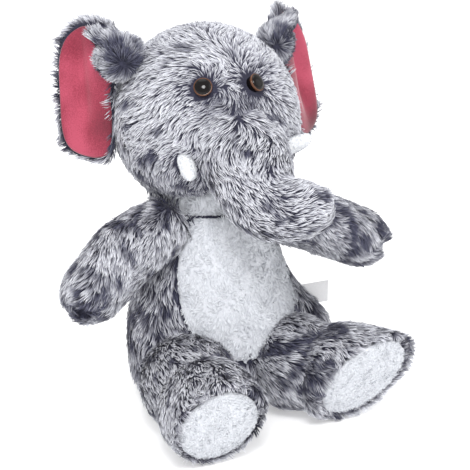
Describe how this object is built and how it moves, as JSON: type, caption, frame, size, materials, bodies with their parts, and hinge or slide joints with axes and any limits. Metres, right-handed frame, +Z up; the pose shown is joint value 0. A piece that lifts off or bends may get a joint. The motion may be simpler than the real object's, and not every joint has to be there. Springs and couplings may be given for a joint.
{
  "type": "stuffed elephant",
  "caption": "Seated plush elephant in frosted fur with pink-lined ears, white belly, soles and tusks, a forward-curling trunk and soft jointed head, limbs and tail.",
  "frame": {"origin": "middle of the underside of the whole bounding box, on the surface that the elephant sits on", "axes": "+Z up; the elephant faces -Y and its left is +X"},
  "size_m": [0.213, 0.1866, 0.2354],
  "materials": {
    "frosted_fur": "long frosted pile",
    "pink_plush": "short smooth pile",
    "white_plush": "short curly pile",
    "stuffing": "loose polyester fibre",
    "bean_pouch": "woven pouch of pellets",
    "tusk_felt": "smooth felt",
    "eye_plastic": "polished, with a brown ring",
    "washer_plastic": "moulded",
    "label_cloth": "plain satin tape"
  },
  "bodies": {
    "torso": {"back_left_panel": "frosted_fur", "back_right_panel": "frosted_fur", "belly_left_panel": "white_plush", "belly_right_panel": "white_plush", "seat_panel": "frosted_fur", "torso_stuffing": "stuffing", "bean_pouch": "bean_pouch", "care_label": "label_cloth"},
    "neck": {"neck_plug": "stuffing"},
    "head": {"head_gusset": "frosted_fur", "chin_panel": "frosted_fur", "head_left_panel": "frosted_fur", "head_right_panel": "frosted_fur", "head_stuffing": "stuffing", "eye_left": "eye_plastic", "eye_right": "eye_plastic", "eye_left_washer": "washer_plastic", "eye_right_washer": "washer_plastic", "tusk_left": "tusk_felt", "tusk_right": "tusk_felt"},
    "trunk": {"trunk_top_panel": "frosted_fur", "trunk_under_panel": "frosted_fur", "trunk_stuffing": "stuffing"},
    "ear_left": {"ear_left_back": "frosted_fur", "ear_left_lining": "pink_plush"},
    "arm_left": {"arm_left_upper_panel": "frosted_fur", "arm_left_lower_panel": "frosted_fur", "arm_left_stuffing": "stuffing"},
    "leg_left": {"leg_left_upper_panel": "frosted_fur", "leg_left_lower_panel": "frosted_fur", "foot_left_sole": "white_plush", "leg_left_stuffing": "stuffing"},
    "ear_right": {"ear_right_back": "frosted_fur", "ear_right_lining": "pink_plush"},
    "arm_right": {"arm_right_upper_panel": "frosted_fur", "arm_right_lower_panel": "frosted_fur", "arm_right_stuffing": "stuffing"},
    "leg_right": {"leg_right_upper_panel": "frosted_fur", "leg_right_lower_panel": "frosted_fur", "foot_right_sole": "white_plush", "leg_right_stuffing": "stuffing"},
    "tail": {"tail_sleeve": "frosted_fur", "tail_tuft": "frosted_fur"}
  },
  "joints": [
    {"name": "head_turn", "type": "hinge", "parent": "torso", "child": "neck", "pos_m": [-0.00154, 0.0248, 0.13], "axis": [0, 0, 1], "range_deg": [-15, 15], "stiffness_Nm_per_rad": 1.2},
    {"name": "head_nod", "type": "hinge", "parent": "neck", "child": "head", "pos_m": [-0.00154, 0.0248, 0.13], "axis": [1, 0, 0], "range_deg": [-6, 4], "stiffness_Nm_per_rad": 6},
    {"name": "trunk_lift", "type": "hinge", "parent": "head", "child": "trunk", "pos_m": [-0.00154, -0.02895, 0.1683], "axis": [-1, 0, 0], "range_deg": [0, 22], "stiffness_Nm_per_rad": 1},
    {"name": "ear_left_flap", "type": "hinge", "parent": "head", "child": "ear_left", "pos_m": [0.05584, 0.02993, 0.17913], "axis": [0, 0, 1], "range_deg": [-20, 20], "stiffness_Nm_per_rad": 0.05},
    {"name": "ear_right_flap", "type": "hinge", "parent": "head", "child": "ear_right", "pos_m": [-0.05893, 0.02993, 0.18198], "axis": [0, 0, 1], "range_deg": [-20, 20], "stiffness_Nm_per_rad": 0.05},
    {"name": "arm_left_swing", "type": "hinge", "parent": "torso", "child": "arm_left", "pos_m": [0.03858, 0.00479, 0.11806], "axis": [-0.2521, -0.9677, 0], "range_deg": [-6, 30], "stiffness_Nm_per_rad": 0.8},
    {"name": "arm_right_swing", "type": "hinge", "parent": "torso", "child": "arm_right", "pos_m": [-0.04167, 0.00479, 0.11806], "axis": [-0.2512, 0.9679, 0], "range_deg": [0, 30], "stiffness_Nm_per_rad": 0.8},
    {"name": "leg_left_lift", "type": "hinge", "parent": "torso", "child": "leg_left", "pos_m": [0.03146, -0.02025, 0.03201], "axis": [-0.7828, -0.6222, 0], "range_deg": [0, 20], "stiffness_Nm_per_rad": 1},
    {"name": "leg_right_lift", "type": "hinge", "parent": "torso", "child": "leg_right", "pos_m": [-0.03454, -0.02025, 0.03201], "axis": [-0.996, 0.0896, 0], "range_deg": [0, 20], "stiffness_Nm_per_rad": 1},
    {"name": "tail_swing", "type": "hinge", "parent": "torso", "child": "tail", "pos_m": [-0.00154, 0.06646, 0.03024], "axis": [0, 0, 1], "range_deg": [-25, 25], "stiffness_Nm_per_rad": 0.02}
  ]
}
